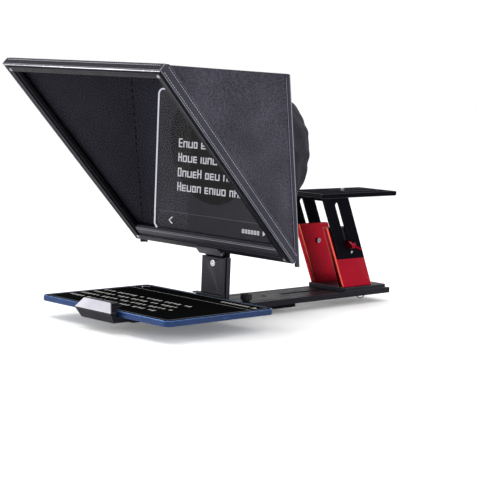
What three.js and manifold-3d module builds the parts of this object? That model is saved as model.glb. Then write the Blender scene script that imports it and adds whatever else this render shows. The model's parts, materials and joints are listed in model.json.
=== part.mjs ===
// Beam-splitter teleprompter with a tablet, for a camera on a tripod.
// Millimetres. X is the width, +Y runs from the presenter to the camera, +Z is up.
// The origin is on the tripod face under the mounting plate, below the glass frame's lower edge.

import * as THREE from 'three';
import { mergeVertices } from 'three/addons/utils/BufferGeometryUtils.js';
import Module from 'manifold-3d';

const wasm = await Module();
wasm.setup();

// ---- Driving dimensions -------------------------------------------------------------------

const GAP = 0.3;                 // space between touching pieces
const ROUND = 28;                // sides of a small round

// Mounting plate and base rail
const PLATE_TOP = 4.7;
const PLATE_FRONT = -64;
const PLATE_BACK = 156;
const RAIL_HALF = 40.5;
const RAIL_BOTTOM = 5;
const RAIL_TOP = 14;
const RAIL_FRONT = -188;
const RAIL_BACK = 387;
const ARM_HALF = 30;
const CHANNEL_FLOOR = 8;
const CHANNEL_END = -12;
const SLOT_FRONT = 160;
const SLOT_BACK = 374;
const SLOT_HALF = 4.5;
const KNOB_X = 24;
const KNOB_Y = 58;

// Tablet and its clamp
const TABLET_HALF = 140.5;
const TABLET_FRONT = -213;
const TABLET_BACK = 1.5;
const TABLET_BOTTOM = 15.3;
const TABLET_TOP = 23.6;
const TABLET_CORNER = 11;
const JAW_HALF = 39;
const JAW_NOSE_Y = -229.4;
const JAW_NOSE_Z = 21.9;
const JAW_TOP_Y = -221.6;
const JAW_TOP_Z = 35.3;

// Post, neck and tilt pivot
const POST_HALF = 24;
const POST_FRONT = 5.5;
const POST_BACK = 21.5;
const POST_TOP = 84;
const BOLT_Z = 74;
const PIVOT_Y = 10;
const PIVOT_Z = 90;
const KNUCKLE_R = 4.6;

// Glass frame, leaning 45 degrees with its top towards the presenter
const FRAME_FOOT_Z = 92;
const FRAME_HALF = 170;
const FRAME_LONG = 382;
const FRAME_DEEP = 15;
const MITRE_GAP = 0.2;
const LEAN = Math.SQRT1_2;

// Hood: back corner heights and depths, and the lens sleeve
const HOOD_TOP_Y = -24;
const HOOD_TOP_Z = 365.6;
const HOOD_FOOT_Y = 15;
const HOOD_FOOT_Z = 87;
const PANEL = 2.7;
const BACK_HALF = 166;
const BACK_FOOT_Z = 107;
const BACK_HEAD_Z = 361.5;
const SLEEVE_Z = 250;
const SLEEVE_HOLE = 86;

// Camera riser: channel uprights leaning forward, slotted plates, camera plate
const RISER_FRONT = 271.5;
const RISER_BACK = 376;
const RISER_TOP = 20.7;
const LOCK_Y = 358;
const RING_Z = 2.2;
const RAKE = 0.475;              // forward lean per unit of height
const CLAMP_Y = 273.6;
const CLAMP_Z = 92.5;
const UPRIGHT_AHEAD = 35.8;      // from the rake line to the tube's front
const UPRIGHT_BEHIND = 38.5;
const UPRIGHT_TOP = 121.5;
const UPRIGHT_INNER = 25.2;
const UPRIGHT_OUTER = 36.2;
const TUBE_WALL = 2.4;
const TUBE_CORNER = 3.5;
const SHIM_T = 0.6;
const SLIDER_AHEAD = 30.1;
const SLIDER_BEHIND = 32.5;
const SLIDER_X = 37.4;
const SLIDER_T = 2.4;
const SLIDER_FOOT = 69;
const GUIDE_Z = 80;
const GUIDE_BEHIND = 3.5;
const CAMERA_Z = 169.5;
const CAMERA_TOP = 177;
const CAMERA_HALF = 40.6;
const CAMERA_FRONT = 202;
const CAMERA_BACK = 392;

// ---- Materials ----------------------------------------------------------------------------

const paint = (color, roughness, metalness) =>
  new THREE.MeshStandardMaterial({ color, roughness, metalness });

const anodised = () => paint(0x1b1b1f, 0.45, 0.7);
const redAnodised = () => paint(0x9c0a22, 0.38, 0.7);
const blackPlastic = () => paint(0x17171b, 0.5, 0);
const greyPlastic = () => paint(0x9c9ba3, 0.5, 0);
const rubber = () => paint(0x141416, 0.85, 0);
const steel = () => paint(0xb9bbc0, 0.3, 1);
const fabric = () => paint(0x3b3a44, 0.95, 0);
const webbing = () => paint(0x26262c, 0.9, 0);
const mirrorGlass = () =>
  new THREE.MeshStandardMaterial({
    color: 0x6a6e74, roughness: 0.05, metalness: 0.1, transparent: true, opacity: 0.35,
  });
const screenGlass = () => paint(0x060608, 0.1, 0);
const blueAluminium = () => paint(0x2c467c, 0.35, 0.8);

// ---- Geometry helpers ---------------------------------------------------------------------

// A box between two opposite corners.
function slab(x0, x1, y0, y1, z0, z1) {
  const geometry = new THREE.BoxGeometry(x1 - x0, y1 - y0, z1 - z0);
  return geometry.translate((x0 + x1) / 2, (y0 + y1) / 2, (z0 + z1) / 2);
}

function outline(points) {
  return new THREE.Shape(points.map(([a, b]) => new THREE.Vector2(a, b)));
}

function extrude(shape, depth) {
  return new THREE.ExtrudeGeometry(shape, { depth, bevelEnabled: false, curveSegments: 8 });
}

// A prism along X from an outline in Y and Z.
function prismX(shape, x0, x1) {
  const turn = new THREE.Matrix4().makeBasis(
    new THREE.Vector3(0, 1, 0), new THREE.Vector3(0, 0, 1), new THREE.Vector3(1, 0, 0));
  return extrude(shape, x1 - x0).applyMatrix4(turn).translate(x0, 0, 0);
}

// A prism along Y from an outline in X and Z.
function prismY(shape, y0, y1) {
  const turn = new THREE.Matrix4().makeBasis(
    new THREE.Vector3(1, 0, 0), new THREE.Vector3(0, 0, 1), new THREE.Vector3(0, -1, 0));
  return extrude(shape, y1 - y0).applyMatrix4(turn).translate(0, y1, 0);
}

// A prism along Z from an outline in X and Y.
function prismZ(shape, z0, z1) {
  return extrude(shape, z1 - z0).translate(0, 0, z0);
}

// A round bar from one point along an axis, backwards if the length is negative.
function bar(axis, at, length, radius, endRadius = radius, sides = ROUND) {
  const flip = length < 0;
  const geometry = new THREE.CylinderGeometry(flip ? radius : endRadius, flip ? endRadius : radius,
    Math.abs(length), sides);
  geometry.translate(0, length / 2, 0);
  if (axis === 'x') {
    geometry.rotateZ(-Math.PI / 2);
  }
  if (axis === 'z') {
    geometry.rotateX(Math.PI / 2);
  }
  return geometry.translate(...at);
}

function roundedBox(halfX, y0, y1, z0, z1, radius) {
  const shape = new THREE.Shape();
  shape.moveTo(-halfX + radius, y0);
  shape.lineTo(halfX - radius, y0);
  shape.absarc(halfX - radius, y0 + radius, radius, -Math.PI / 2, 0);
  shape.lineTo(halfX, y1 - radius);
  shape.absarc(halfX - radius, y1 - radius, radius, 0, Math.PI / 2);
  shape.lineTo(-halfX + radius, y1);
  shape.absarc(-halfX + radius, y1 - radius, radius, Math.PI / 2, Math.PI);
  shape.lineTo(-halfX, y0 + radius);
  shape.absarc(-halfX + radius, y0 + radius, radius, Math.PI, 1.5 * Math.PI);
  return prismZ(shape, z0, z1);
}

// A slot outline along the first axis, with round ends.
function stadium(centreA, centreB, length, radius) {
  const shape = new THREE.Shape();
  const reach = length / 2 - radius;
  shape.moveTo(centreA - reach, centreB - radius);
  shape.lineTo(centreA + reach, centreB - radius);
  shape.absarc(centreA + reach, centreB, radius, -Math.PI / 2, Math.PI / 2);
  shape.lineTo(centreA - reach, centreB + radius);
  shape.absarc(centreA - reach, centreB, radius, Math.PI / 2, 1.5 * Math.PI);
  return shape;
}

function toSolid(geometry) {
  const plain = geometry.clone();
  plain.deleteAttribute('normal');
  plain.deleteAttribute('uv');
  const merged = mergeVertices(plain, 1e-4);
  return new wasm.Manifold(new wasm.Mesh({
    numProp: 3,
    vertProperties: new Float32Array(merged.attributes.position.array),
    triVerts: new Uint32Array(merged.index.array),
  }));
}

function toGeometry(solid) {
  const mesh = solid.getMesh();
  const geometry = new THREE.BufferGeometry();
  geometry.setAttribute('position', new THREE.BufferAttribute(new Float32Array(mesh.vertProperties), 3));
  geometry.setIndex(new THREE.BufferAttribute(new Uint32Array(mesh.triVerts), 1));
  geometry.computeVertexNormals();
  return geometry;
}

// Joins the first list of geometries and cuts the second list away.
function carve(bodies, cuts = []) {
  let solid = toSolid(bodies[0]);
  for (const body of bodies.slice(1)) {
    solid = solid.add(toSolid(body));
  }
  for (const cut of cuts) {
    solid = solid.subtract(toSolid(cut));
  }
  return toGeometry(solid);
}

function common(first, second) {
  return toGeometry(toSolid(first).intersect(toSolid(second)));
}

function piece(name, geometry, material, group) {
  const mesh = new THREE.Mesh(geometry, material);
  mesh.name = name;
  group.add(mesh);
}

// A screw head with a cross recess, its top at the given point and facing along the axis.
function crossHead(axis, at, height, radius) {
  const head = bar('z', [0, 0, -height], height, radius);
  const arm = radius * 0.62;
  const half = radius * 0.14;
  const cuts = [
    slab(-arm, arm, -half, half, -height * 0.5, 1),
    slab(-half, half, -arm, arm, -height * 0.5, 1),
  ];
  const geometry = carve([head], cuts);
  if (axis === 'x') {
    geometry.rotateY(Math.PI / 2);
  }
  if (axis === '-x') {
    geometry.rotateY(-Math.PI / 2);
  }
  if (axis === '-y') {
    geometry.rotateX(Math.PI / 2);
  }
  return geometry.translate(...at);
}

const model = new THREE.Group();

// ---- Base rail, mounting plate, post ------------------------------------------------------

function buildBase(group) {
  const rail = slab(-RAIL_HALF, RAIL_HALF, RAIL_FRONT, RAIL_BACK, RAIL_BOTTOM, RAIL_TOP);
  const cuts = [
    slab(-ARM_HALF - 0.5, ARM_HALF + 0.5, RAIL_FRONT - 1, CHANNEL_END, CHANNEL_FLOOR, RAIL_TOP + 1),
    slab(-SLOT_HALF, SLOT_HALF, SLOT_FRONT, SLOT_BACK, RAIL_BOTTOM - 1, RAIL_TOP + 1),
    bar('z', [0, 122, RAIL_BOTTOM - 1], RAIL_TOP - RAIL_BOTTOM + 2, SLOT_HALF),
    bar('z', [KNOB_X, KNOB_Y, RAIL_BOTTOM - 1], RAIL_TOP - RAIL_BOTTOM + 2, 3.4),
  ];
  for (const side of [-1, 1]) {
    const groove = side * 33;
    cuts.push(slab(groove - 1, groove + 1, POST_BACK + 12, RAIL_BACK + 1, RAIL_TOP - 1.2, RAIL_TOP + 1));
    const inner = side * 15;
    cuts.push(slab(inner - 0.8, inner + 0.8, SLOT_FRONT - 14, RAIL_BACK + 1, RAIL_TOP - 0.8, RAIL_TOP + 1));
  }
  piece('base_rail', carve([rail], cuts), anodised(), group);

  const plate = roundedBox(RAIL_HALF - 0.5, PLATE_FRONT, PLATE_BACK, 0, PLATE_TOP, 4);
  const holes = [-38, 44, 84, 122].map((y) => bar('z', [0, y, -1], PLATE_TOP + 2, 4.8));
  holes.push(bar('z', [KNOB_X, KNOB_Y, -1], PLATE_TOP + 2, 3.4));
  piece('mounting_plate', carve([plate], holes), anodised(), group);

  for (const [name, side] of [['rail_pad_left', -1], ['rail_pad_right', 1]]) {
    const x = side * 35.5;
    const strip = slab(x - 4, x + 4, RAIL_FRONT + 8, -8, RAIL_TOP + GAP, TABLET_BOTTOM - GAP);
    piece(name, strip, rubber(), group);
  }

  const hook = outline([
    [1.8, RAIL_TOP + GAP], [5.2, RAIL_TOP + GAP], [5.2, 28], [-6, 28], [-6, 25.6], [1.8, 25.6],
  ]);
  piece('rear_jaw', prismX(hook, -ARM_HALF, ARM_HALF), blackPlastic(), group);
}

function buildPost(group) {
  const profile = outline([
    [-POST_HALF, POST_FRONT + 1], [-POST_HALF + 1, POST_FRONT], [POST_HALF - 1, POST_FRONT],
    [POST_HALF, POST_FRONT + 1], [POST_HALF, 9], [POST_HALF - 3, 10], [POST_HALF - 3, 13],
    [POST_HALF, 14], [POST_HALF, POST_BACK], [16, POST_BACK], [16, 13.3], [-16, 13.3],
    [-16, POST_BACK], [-POST_HALF, POST_BACK], [-POST_HALF, 14], [-POST_HALF + 3, 13],
    [-POST_HALF + 3, 10], [-POST_HALF, 9],
  ]);
  const chamfer = outline([[POST_FRONT - 1, POST_TOP - 2.5], [POST_FRONT + 3, POST_TOP + 1.5],
    [POST_FRONT - 1, POST_TOP + 1.5]]);
  const cuts = [
    prismX(chamfer, -POST_HALF - 1, POST_HALF + 1),
    bar('y', [0, POST_FRONT - 1, BOLT_Z], 12, 3.3),
    bar('y', [0, POST_FRONT - 1, BOLT_Z], 2.6, 5.3),
  ];
  piece('post', carve([prismZ(profile, RAIL_TOP + GAP, POST_TOP)], cuts), anodised(), group);

  // Clamp bolt through the post: its socket head sits in front, the red knob is behind.
  const bolt = carve([
    bar('y', [0, POST_FRONT + 0.2, BOLT_Z], 1.2, 5),
    bar('y', [0, POST_FRONT + 1, BOLT_Z], POST_BACK - POST_FRONT + 1, 3),
  ], [
    bar('y', [0, POST_FRONT - 1, BOLT_Z], 2, 2.4, 2.4, 6),
  ]);
  piece('post_bolt', bolt, steel(), group);

  const wing = stadium(0, 0, 27, 4.5);
  const knob = carve([
    prismY(wing, 0, 5).rotateY(-0.9).translate(0, POST_BACK + 4, BOLT_Z),
    bar('y', [0, POST_BACK + 1.5, BOLT_Z], 10.5, 7.5, 6.5),
  ], [
    bar('y', [0, POST_BACK, BOLT_Z], 4.5, 3.3),
  ]);
  piece('post_knob', knob, redAnodised(), group);
}

function buildNeck(group) {
  const stem = slab(-15.6, 15.6, 13.6, 19.6, 34, POST_TOP + 0.5);
  const ears = [-1, 1].flatMap((side) => [
    bar('x', [side * 12.2 - 2.8, PIVOT_Y, PIVOT_Z], 5.6, KNUCKLE_R),
    slab(side * 12.2 - 2.8, side * 12.2 + 2.8, 6, 19.6, POST_TOP + GAP, PIVOT_Z - 1),
    slab(side * 20.7 - 2.8, side * 20.7 + 2.8, 12.5, 19.6, POST_TOP + GAP, 98),
  ]);
  const shoulder = slab(-23.5, 23.5, 15.5, 19.6, POST_TOP + GAP, 98);
  const fork = [
    slab(-3.7, 3.7, 13, 20, 33, BOLT_Z + 2),
    bar('y', [0, 13, BOLT_Z + 2], 7, 3.7),
    bar('x', [-20, PIVOT_Y, PIVOT_Z], 40, 2.3),
  ];
  piece('neck_bracket', carve([stem, shoulder, ...ears], fork), anodised(), group);

  const pin = carve([
    bar('x', [-17.4, PIVOT_Y, PIVOT_Z], 34.8, 2),
    bar('x', [-17.6, PIVOT_Y, PIVOT_Z], 2.2, 3.6),
    bar('x', [15.4, PIVOT_Y, PIVOT_Z], 2.2, 3.6),
  ]);
  piece('tilt_pin', pin, steel(), group);
}

function buildRailKnob(group) {
  const grip = [];
  for (let i = 0; i < 20; i += 1) {
    const angle = (i / 20) * 2 * Math.PI;
    const rib = slab(-0.6, 0.6, -0.6, 0.6, RAIL_TOP + 3, RAIL_TOP + 11.4).rotateZ(Math.PI / 4);
    grip.push(rib.rotateZ(angle).translate(8.3 * Math.cos(angle), 8.3 * Math.sin(angle), 0));
  }
  const knob = carve([
    bar('z', [0, 0, RAIL_TOP + 2.4], 10, 8.5, 8.5, 40),
    bar('z', [0, 0, RAIL_TOP + GAP], 3, 6),
    bar('z', [0, 0, 1], RAIL_TOP, 3),
    ...grip,
  ], [
    bar('z', [0, 0, RAIL_TOP + 10.4], 3, 4.2),
  ]);
  piece('rail_knob', knob.translate(KNOB_X, KNOB_Y, 0), blackPlastic(), group);
}

// ---- Tablet and front jaw -----------------------------------------------------------------

function buildTablet(group) {
  const body = roundedBox(TABLET_HALF, TABLET_FRONT, TABLET_BACK, TABLET_BOTTOM + 1.2, TABLET_TOP - 0.9,
    TABLET_CORNER);
  const inner = roundedBox(TABLET_HALF - 1, TABLET_FRONT + 1, TABLET_BACK - 1, TABLET_BOTTOM, TABLET_TOP,
    TABLET_CORNER - 1);
  const pocket = roundedBox(TABLET_HALF - 2.6, TABLET_FRONT + 2.6, TABLET_BACK - 2.6, TABLET_TOP - 1.6,
    TABLET_TOP + 1, TABLET_CORNER - 2);
  const keyway = slab(TABLET_HALF - 2, TABLET_HALF + 1, -107, -93, 18.2, 21);
  piece('tablet_case', carve([body, inner], [pocket, keyway]), blueAluminium(), group);

  const screen = roundedBox(TABLET_HALF - 2.9, TABLET_FRONT + 2.9, TABLET_BACK - 2.9, TABLET_TOP - 1.3,
    TABLET_TOP + 0.1, TABLET_CORNER - 2.3);
  piece('tablet_screen', screen, screenGlass(), group);

  const key = slab(TABLET_HALF - 1.1, TABLET_HALF + 0.5, -106.6, -93.4, 18.6, 20.6);
  piece('tablet_key', key, blueAluminium(), group);
}

function buildJaw(group) {
  const slopeY = JAW_TOP_Y - JAW_NOSE_Y;
  const slopeZ = JAW_TOP_Z - JAW_NOSE_Z;
  const slope = Math.hypot(slopeY, slopeZ);
  const inset = ([y, z], t) => [y + (t * slopeZ) / slope, z - (t * slopeY) / slope];
  const nose = [JAW_NOSE_Y, JAW_NOSE_Z];
  const brow = [JAW_TOP_Y, JAW_TOP_Z];
  const facePlate = 2;
  const front = prismX(outline([
    [-219.4, 6], [JAW_NOSE_Y, JAW_NOSE_Z - 1.4], inset(nose, facePlate + GAP), inset(brow, facePlate + GAP),
    [-205, JAW_TOP_Z - 1.2], [-205, 28.4], [-216.7, 28.4], [-216.7, 14.7], [RAIL_FRONT - GAP, 14.7],
    [RAIL_FRONT - GAP, 6],
  ]), -JAW_HALF, JAW_HALF);
  const silhouette = prismY(outline([
    [-35, 5], [35, 5], [JAW_HALF, JAW_NOSE_Z - 4], [JAW_HALF, JAW_NOSE_Z], [28.5, JAW_TOP_Z + 0.2],
    [-28.5, JAW_TOP_Z + 0.2], [-JAW_HALF, JAW_NOSE_Z], [-JAW_HALF, JAW_NOSE_Z - 4],
  ]), JAW_NOSE_Y - 1, RAIL_FRONT);
  const arm = slab(-ARM_HALF, ARM_HALF, RAIL_FRONT - 2, -58, CHANNEL_FLOOR + GAP, RAIL_TOP - GAP);
  const trimmed = common(front, silhouette);
  piece('jaw_arm', carve([trimmed, arm]), blackPlastic(), group);

  const face = prismX(outline([nose, brow, inset(brow, facePlate), inset(nose, facePlate)]),
    -JAW_HALF, JAW_HALF);
  piece('jaw_face', common(face, silhouette), greyPlastic(), group);

  const liner = carve([
    slab(-28, 28, -216.4, -213.3, 15.2, 28.1),
    slab(-28, 28, -216.4, -206, TABLET_TOP + 0.4, 28.1),
  ]);
  piece('jaw_liner', liner, rubber(), group);
}

// ---- Glass frame --------------------------------------------------------------------------
// The frame's own group: X across, Y up the slope, Z towards the presenter; its front is Z = 0.

// One mitred layer of one rail, between two insets from the frame's edge and two depths.
function mitredLayer(side, inset0, inset1, depth0, depth1) {
  const half = FRAME_HALF;
  const long = FRAME_LONG;
  const g = MITRE_GAP;
  const corners = {
    bottom: [[-half + inset0 + g, inset0], [half - inset0 - g, inset0],
      [half - inset1 - g, inset1], [-half + inset1 + g, inset1]],
    top: [[-half + inset1 + g, long - inset1], [half - inset1 - g, long - inset1],
      [half - inset0 - g, long - inset0], [-half + inset0 + g, long - inset0]],
    left: [[-half + inset0, inset0 + g], [-half + inset1, inset1 + g],
      [-half + inset1, long - inset1 - g], [-half + inset0, long - inset0 - g]],
    right: [[half - inset1, inset1 + g], [half - inset0, inset0 + g],
      [half - inset0, long - inset0 - g], [half - inset1, long - inset1 - g]],
  };
  return prismZ(outline(corners[side]), -depth1, -depth0);
}

const SCREW_SPOTS = [
  ['frame_screw_bottom_left', -160, 8.7], ['frame_screw_bottom_right', 160, 8.7],
  ['frame_screw_top_left', -160, FRAME_LONG - 10], ['frame_screw_top_right', 160, FRAME_LONG - 10],
];

function buildFrame(group) {
  const counterbores = SCREW_SPOTS.map(([, x, y]) => bar('z', [x, y, -2], 4, 2.9));
  for (const side of ['bottom', 'top', 'left', 'right']) {
    const rail = carve([
      mitredLayer(side, 0, 8, 2, FRAME_DEEP),
      mitredLayer(side, 4.5, 13, 0, 9),
      mitredLayer(side, 8, 16, 3, 9),
    ], counterbores);
    piece(`frame_${side}`, rail, blackPlastic(), group);
  }
  const strip = carve([
    slab(-153.7, 153.7, 16.3, 29, -8.7, -3.4),
    slab(-153.7, 153.7, 16.3, 26, -8.7, -2.4),
  ]);
  piece('frame_sill', strip, blackPlastic(), group);
  for (const [name, x, y] of SCREW_SPOTS) {
    piece(name, crossHead('z', [x, y, -0.1], 1.6, 2.6), steel(), group);
  }
  const glassEdge = 8.4;
  const glass = slab(-FRAME_HALF + glassEdge, FRAME_HALF - glassEdge, glassEdge, FRAME_LONG - glassEdge,
    -12.3, -9.3);
  piece('beam_splitter_glass', glass, mirrorGlass(), group);
  const gasket = carve([
    slab(-FRAME_HALF + glassEdge, FRAME_HALF - glassEdge, glassEdge, FRAME_LONG - glassEdge, -14.8, -12.6),
  ], [
    slab(-FRAME_HALF + 13, FRAME_HALF - 13, 13, FRAME_LONG - 13, -16, -12),
  ]);
  piece('glass_gasket', gasket, rubber(), group);
}

function buildHingeLeaf(group) {
  const across = -(PIVOT_Y) * LEAN + (PIVOT_Z - FRAME_FOOT_Z) * LEAN;
  const depth = PIVOT_Y * LEAN + (PIVOT_Z - FRAME_FOOT_Z) * LEAN;
  const leaf = carve([
    slab(-POST_HALF, POST_HALF, -3.3, 10, GAP, 3.3),
    slab(-POST_HALF, POST_HALF, -3.3, -GAP, -12, 3.3),
    bar('x', [-9, across, -depth], 18, KNUCKLE_R - 0.2),
    slab(-9, 9, across, -2, -depth - 3, -depth + 3),
  ], [
    bar('x', [-10, across, -depth], 20, 2.3),
  ]);
  piece('hinge_leaf', leaf, anodised(), group);
}

// ---- Hood, edge bands and lens sleeve -----------------------------------------------------

// A point on the frame's own axes, taken to the object's Y and Z.
function frameToWorld(up, back) {
  return [(-up + back) * LEAN, FRAME_FOOT_Z + (up + back) * LEAN];
}

function hoodBackY(z) {
  return HOOD_FOOT_Y + ((HOOD_TOP_Y - HOOD_FOOT_Y) * (z - HOOD_FOOT_Z)) / (HOOD_TOP_Z - HOOD_FOOT_Z);
}

function buildBands(group) {
  for (const [name, side] of [['band_left', -1], ['band_right', 1]]) {
    const inner = side * (FRAME_HALF + GAP);
    const outer = side * (FRAME_HALF + 1.5);
    const strip = slab(Math.min(inner, outer), Math.max(inner, outer), 0, FRAME_LONG + 1.2, -18, -1.5);
    piece(name, strip, webbing(), group);
  }
  const top = slab(-FRAME_HALF, FRAME_HALF, FRAME_LONG + GAP, FRAME_LONG + 1.5, -12.5, -1.5);
  piece('band_top', top, webbing(), group);
}

function buildHood(group) {
  const head = frameToWorld(FRAME_LONG - 3, FRAME_DEEP + 0.6);
  const foot = frameToWorld(0, FRAME_DEEP + 0.6);
  for (const [name, side] of [['hood_left', -1], ['hood_right', 1]]) {
    const inner = side * (FRAME_HALF - 0.3 - PANEL);
    const outer = side * (FRAME_HALF - 0.3);
    const wall = outline([head, foot, [HOOD_FOOT_Y, HOOD_FOOT_Z], [HOOD_TOP_Y, HOOD_TOP_Z]]);
    piece(name, prismX(wall, Math.min(inner, outer), Math.max(inner, outer)), fabric(), group);
  }
  const roof = outline([
    [head[0] + 0.6, head[1]], [head[0] + 3.8, head[1] - PANEL],
    [HOOD_TOP_Y - 1, HOOD_TOP_Z - PANEL], [HOOD_TOP_Y - 1, HOOD_TOP_Z],
  ]);
  piece('hood_top', prismX(roof, -FRAME_HALF + 3.6, FRAME_HALF - 3.6), fabric(), group);

  const back = outline([
    [hoodBackY(BACK_FOOT_Z) - PANEL, BACK_FOOT_Z], [hoodBackY(BACK_FOOT_Z), BACK_FOOT_Z],
    [hoodBackY(BACK_HEAD_Z), BACK_HEAD_Z], [hoodBackY(BACK_HEAD_Z) - PANEL, BACK_HEAD_Z],
  ]);
  const hole = bar('y', [0, -60, SLEEVE_Z], 120, SLEEVE_HOLE, SLEEVE_HOLE, 48);
  piece('hood_back', carve([prismX(back, -BACK_HALF, BACK_HALF)], [hole]), fabric(), group);
}

// The sleeve is a bag of revolution about Y whose first ring leans with the hood's back.
const SLEEVE_OUTSIDE = [
  [91, 0], [102, 24], [109, 60], [111, 98], [108, 120], [98, 134], [79, 142], [57, 145],
];
const SLEEVE_INSIDE = [
  [57, 140.6], [77.5, 137.8], [95, 130.6], [104.3, 118.2], [107, 97.5], [105, 61], [98.2, 25.5], [87, 0],
];

function leanFoot(geometry, length) {
  const slope = (HOOD_TOP_Y - HOOD_FOOT_Y) / (HOOD_TOP_Z - HOOD_FOOT_Z);
  const position = geometry.attributes.position;
  for (let i = 0; i < position.count; i += 1) {
    const along = Math.min(1, Math.max(0, position.getY(i) / length));
    position.setY(i, position.getY(i) + slope * position.getZ(i) * (1 - along));
  }
  return geometry;
}

function buildSleeve(group) {
  const loop = [...SLEEVE_OUTSIDE, ...SLEEVE_INSIDE, SLEEVE_OUTSIDE[0]];
  const length = SLEEVE_OUTSIDE.at(-1)[1];
  const bag = leanFoot(new THREE.LatheGeometry(loop.map(([r, y]) => new THREE.Vector2(r, y)), 48), length);
  bag.translate(0, hoodBackY(SLEEVE_Z) + 0.6, SLEEVE_Z);
  piece('lens_sleeve', carve([bag]), fabric(), group);

  const mouth = hoodBackY(SLEEVE_Z) + 0.6 + length;
  const ring = [[52, 0.4], [58.5, 0.4], [60.5, 3], [58.5, 6.4], [52, 6.4], [50.5, 3], [52, 0.4]];
  const hem = new THREE.LatheGeometry(ring.map(([r, y]) => new THREE.Vector2(r, y)), 48);
  piece('sleeve_hem', carve([hem.translate(0, mouth, SLEEVE_Z)]), webbing(), group);
}

// ---- Camera riser -------------------------------------------------------------------------

function rakedY(z) {
  return CLAMP_Y - RAKE * (z - CLAMP_Z);
}

// A raked plate: a parallelogram between two offsets from the rake line and two heights.
function raked(offset0, offset1, z0, z1, x0, x1) {
  const shape = outline([
    [rakedY(z0) + offset0, z0], [rakedY(z0) + offset1, z0],
    [rakedY(z1) + offset1, z1], [rakedY(z1) + offset0, z1],
  ]);
  return prismX(shape, Math.min(x0, x1), Math.max(x0, x1));
}

function buildRiserBase(group) {
  const floor = roundedBox(RAIL_HALF, RISER_FRONT, RISER_BACK, RAIL_TOP + GAP, RISER_TOP, 2);
  const lockHole = bar('z', [0, LOCK_Y, 10], 12, 3.4);
  piece('riser_plate', carve([floor], [lockHole]), anodised(), group);
}

// A rounded rectangle across the upright: its X from one face to the other, its Y along the rail.
function tubeSection(side, inset, radius) {
  const x0 = UPRIGHT_INNER + inset;
  const x1 = UPRIGHT_OUTER - inset;
  const y0 = -UPRIGHT_AHEAD + inset;
  const y1 = UPRIGHT_BEHIND - inset;
  const loop = new THREE.Shape();
  loop.moveTo(x0 + radius, y0);
  loop.absarc(x1 - radius, y0 + radius, radius, -Math.PI / 2, 0);
  loop.absarc(x1 - radius, y1 - radius, radius, 0, Math.PI / 2);
  loop.absarc(x0 + radius, y1 - radius, radius, Math.PI / 2, Math.PI);
  loop.absarc(x0 + radius, y0 + radius, radius, Math.PI, 1.5 * Math.PI);
  return outline(loop.getPoints(5).slice(0, -1).map(({ x, y }) => [side * x, y]));
}

// Each upright is a flat oblong tube, sheared to the rake; a friction shim lies on its outer face.
function buildUpright(group, suffix, side) {
  const lean = new THREE.Matrix4().set(
    1, 0, 0, 0,
    0, 1, -RAKE, CLAMP_Y + RAKE * CLAMP_Z,
    0, 0, 1, 0,
    0, 0, 0, 1,
  );
  const foot = RISER_TOP + GAP;
  const skin = prismZ(tubeSection(side, 0, TUBE_CORNER), foot, UPRIGHT_TOP).applyMatrix4(lean);
  const core = prismZ(tubeSection(side, TUBE_WALL, TUBE_CORNER - TUBE_WALL), foot - 1, UPRIGHT_TOP + 1);
  const hole = bar('x', [side * (UPRIGHT_INNER - 2), CLAMP_Y, CLAMP_Z], side * 17, 3.3);
  piece(`upright_${suffix}`, carve([skin], [core.applyMatrix4(lean), hole]), redAnodised(), group);

  const shimX = UPRIGHT_OUTER + GAP;
  const shim = raked(-SLIDER_AHEAD, SLIDER_BEHIND, SLIDER_FOOT + 2, UPRIGHT_TOP - 0.5,
    side * shimX, side * (shimX + SHIM_T));
  piece(`friction_shim_${suffix}`, carve([shim], [hole]), blackPlastic(), group);
}

function buildSlider(group, suffix, side) {
  const outerX = side * (SLIDER_X + SLIDER_T);
  const top = CAMERA_Z - GAP;
  const slotLength = 84;
  const rakeAngle = Math.atan(RAKE);
  const slot = prismX(stadium(0, 0, slotLength, 4), 25, 45).rotateX(Math.PI / 2 + rakeAngle);
  const slotMiddle = 124;
  slot.translate(side > 0 ? 0 : -70, rakedY(slotMiddle), slotMiddle);
  const guideHole = bar('x', [side * 35, rakedY(GUIDE_Z) + GUIDE_BEHIND, GUIDE_Z], side * 8, 1.6);
  const plate = carve([
    raked(-SLIDER_AHEAD, SLIDER_BEHIND, SLIDER_FOOT, top, side * SLIDER_X, outerX),
    slab(Math.min(side * 17, outerX), Math.max(side * 17, outerX), rakedY(top) - SLIDER_AHEAD,
      rakedY(top) + SLIDER_BEHIND, top - 3.4, top),
  ], [slot, guideHole]);
  piece(`slider_${suffix}`, plate, anodised(), group);
}

function buildCameraPlate(group) {
  const shape = outline([
    [CAMERA_FRONT + 3, CAMERA_Z], [CAMERA_BACK - 2, CAMERA_Z], [CAMERA_BACK, CAMERA_Z + 2],
    [CAMERA_BACK, CAMERA_TOP - 1.2], [CAMERA_BACK - 1.2, CAMERA_TOP], [CAMERA_FRONT + 4, CAMERA_TOP],
    [CAMERA_FRONT, CAMERA_TOP - 2.5], [CAMERA_FRONT, CAMERA_Z + 2],
  ]);
  const slots = [-14, 14].map((x) => slab(x - 3.4, x + 3.4, 286, 372, CAMERA_Z - 1, CAMERA_TOP + 1));
  const screwHole = bar('z', [0, 300, CAMERA_Z - 1], 10, 3.4);
  const plate = carve([prismX(shape, -CAMERA_HALF, CAMERA_HALF)], [...slots, screwHole]);
  piece('camera_plate', plate, anodised(), group);

  // Camera screw: a coin-slotted head under the plate and a thread that stands out above it.
  const screw = carve([
    bar('z', [0, 300, CAMERA_Z - 7.6], 7.2, 9),
    bar('z', [0, 300, CAMERA_Z - 2], 13.6, 3),
  ], [
    slab(-10, 10, 299.2, 300.8, CAMERA_Z - 9, CAMERA_Z - 6),
  ]);
  piece('camera_screw', screw, steel(), group);
}

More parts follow.
